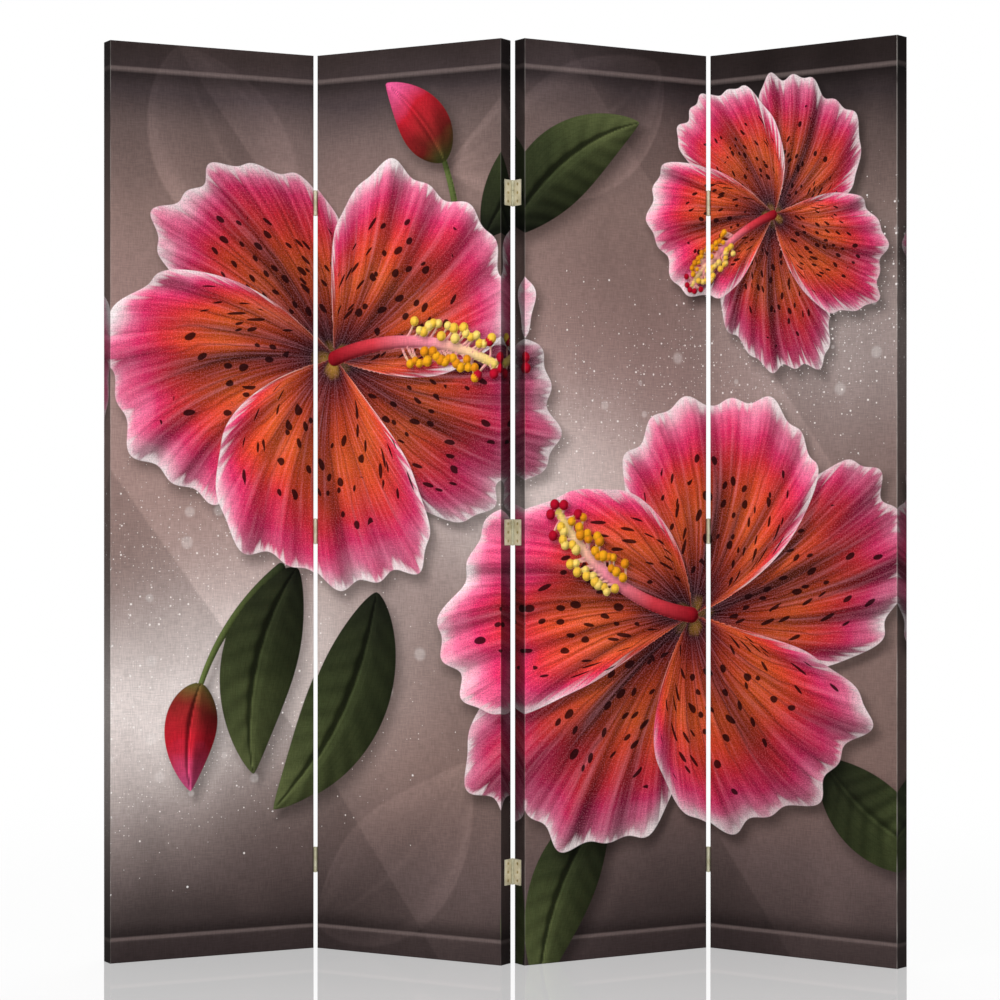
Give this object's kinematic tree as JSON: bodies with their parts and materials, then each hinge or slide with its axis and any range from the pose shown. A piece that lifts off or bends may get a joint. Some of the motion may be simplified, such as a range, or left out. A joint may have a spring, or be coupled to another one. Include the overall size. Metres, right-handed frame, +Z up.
{
  "type": "folding screen",
  "caption": "Free-standing folding screen of tall canvas panels stretched over timber frames, joined edge to edge by small butt hinges to stand in a zigzag and fold flat.",
  "frame": {"origin": "on the floor, under the middle of the box about the screen as it stands in its zigzag", "axes": "+Z up, +X along the screen from the first panel to the last, +Y from the printed side to the back"},
  "size_m": [1.3032, 0.2486, 1.5],
  "materials": {
    "printed_canvas": "matte printed cotton canvas",
    "back_cloth": "plain white non-woven cloth",
    "pine": "planed, unfinished",
    "hinge_brass": "satin brass plate",
    "screw_brass": "satin brass plate",
    "pin_steel": "turned steel",
    "staple_steel": "galvanised wire"
  },
  "bodies": {
    "panel_1": {"panel_1_left_stile": "pine", "panel_1_right_stile": "pine", "panel_1_top_rail": "pine", "panel_1_bottom_rail": "pine", "panel_1_cross_bars": "pine", "panel_1_canvas": "printed_canvas", "panel_1_back_cover": "back_cloth", "panel_1_staples": "staple_steel", "panel_1_hinge_screws": "screw_brass", "hinge_1_bottom_left_leaf": "hinge_brass", "hinge_1_middle_left_leaf": "hinge_brass", "hinge_1_top_left_leaf": "hinge_brass", "hinge_1_pins": "pin_steel"},
    "panel_2": {"panel_2_left_stile": "pine", "panel_2_right_stile": "pine", "panel_2_top_rail": "pine", "panel_2_bottom_rail": "pine", "panel_2_cross_bars": "pine", "panel_2_canvas": "printed_canvas", "panel_2_back_cover": "back_cloth", "panel_2_staples": "staple_steel", "panel_2_hinge_screws": "screw_brass", "hinge_1_bottom_right_leaf": "hinge_brass", "hinge_1_middle_right_leaf": "hinge_brass", "hinge_1_top_right_leaf": "hinge_brass", "hinge_2_bottom_left_leaf": "hinge_brass", "hinge_2_middle_left_leaf": "hinge_brass", "hinge_2_top_left_leaf": "hinge_brass", "hinge_2_pins": "pin_steel"},
    "panel_3": {"panel_3_left_stile": "pine", "panel_3_right_stile": "pine", "panel_3_top_rail": "pine", "panel_3_bottom_rail": "pine", "panel_3_cross_bars": "pine", "panel_3_canvas": "printed_canvas", "panel_3_back_cover": "back_cloth", "panel_3_staples": "staple_steel", "panel_3_hinge_screws": "screw_brass", "hinge_2_bottom_right_leaf": "hinge_brass", "hinge_2_middle_right_leaf": "hinge_brass", "hinge_2_top_right_leaf": "hinge_brass", "hinge_3_bottom_left_leaf": "hinge_brass", "hinge_3_middle_left_leaf": "hinge_brass", "hinge_3_top_left_leaf": "hinge_brass", "hinge_3_pins": "pin_steel"},
    "panel_4": {"panel_4_left_stile": "pine", "panel_4_right_stile": "pine", "panel_4_top_rail": "pine", "panel_4_bottom_rail": "pine", "panel_4_cross_bars": "pine", "panel_4_canvas": "printed_canvas", "panel_4_back_cover": "back_cloth", "panel_4_staples": "staple_steel", "panel_4_hinge_screws": "screw_brass", "hinge_3_bottom_right_leaf": "hinge_brass", "hinge_3_middle_right_leaf": "hinge_brass", "hinge_3_top_right_leaf": "hinge_brass"}
  },
  "joints": [
    {"name": "fold_1_2", "type": "hinge", "parent": "panel_1", "child": "panel_2", "pos_m": [-0.31501, 0.09292, 0], "axis": [0, 0, 1], "range_deg": [-121.5, 58.5]},
    {"name": "fold_2_3", "type": "hinge", "parent": "panel_2", "child": "panel_3", "pos_m": [0.01593, -0.06148, 0], "axis": [0, 0, 1], "range_deg": [-62.5, 117.5]},
    {"name": "fold_3_4", "type": "hinge", "parent": "panel_3", "child": "panel_4", "pos_m": [0.34552, 0.0958, 0], "axis": [0, 0, 1], "range_deg": [-110.5, 69.5]}
  ]
}
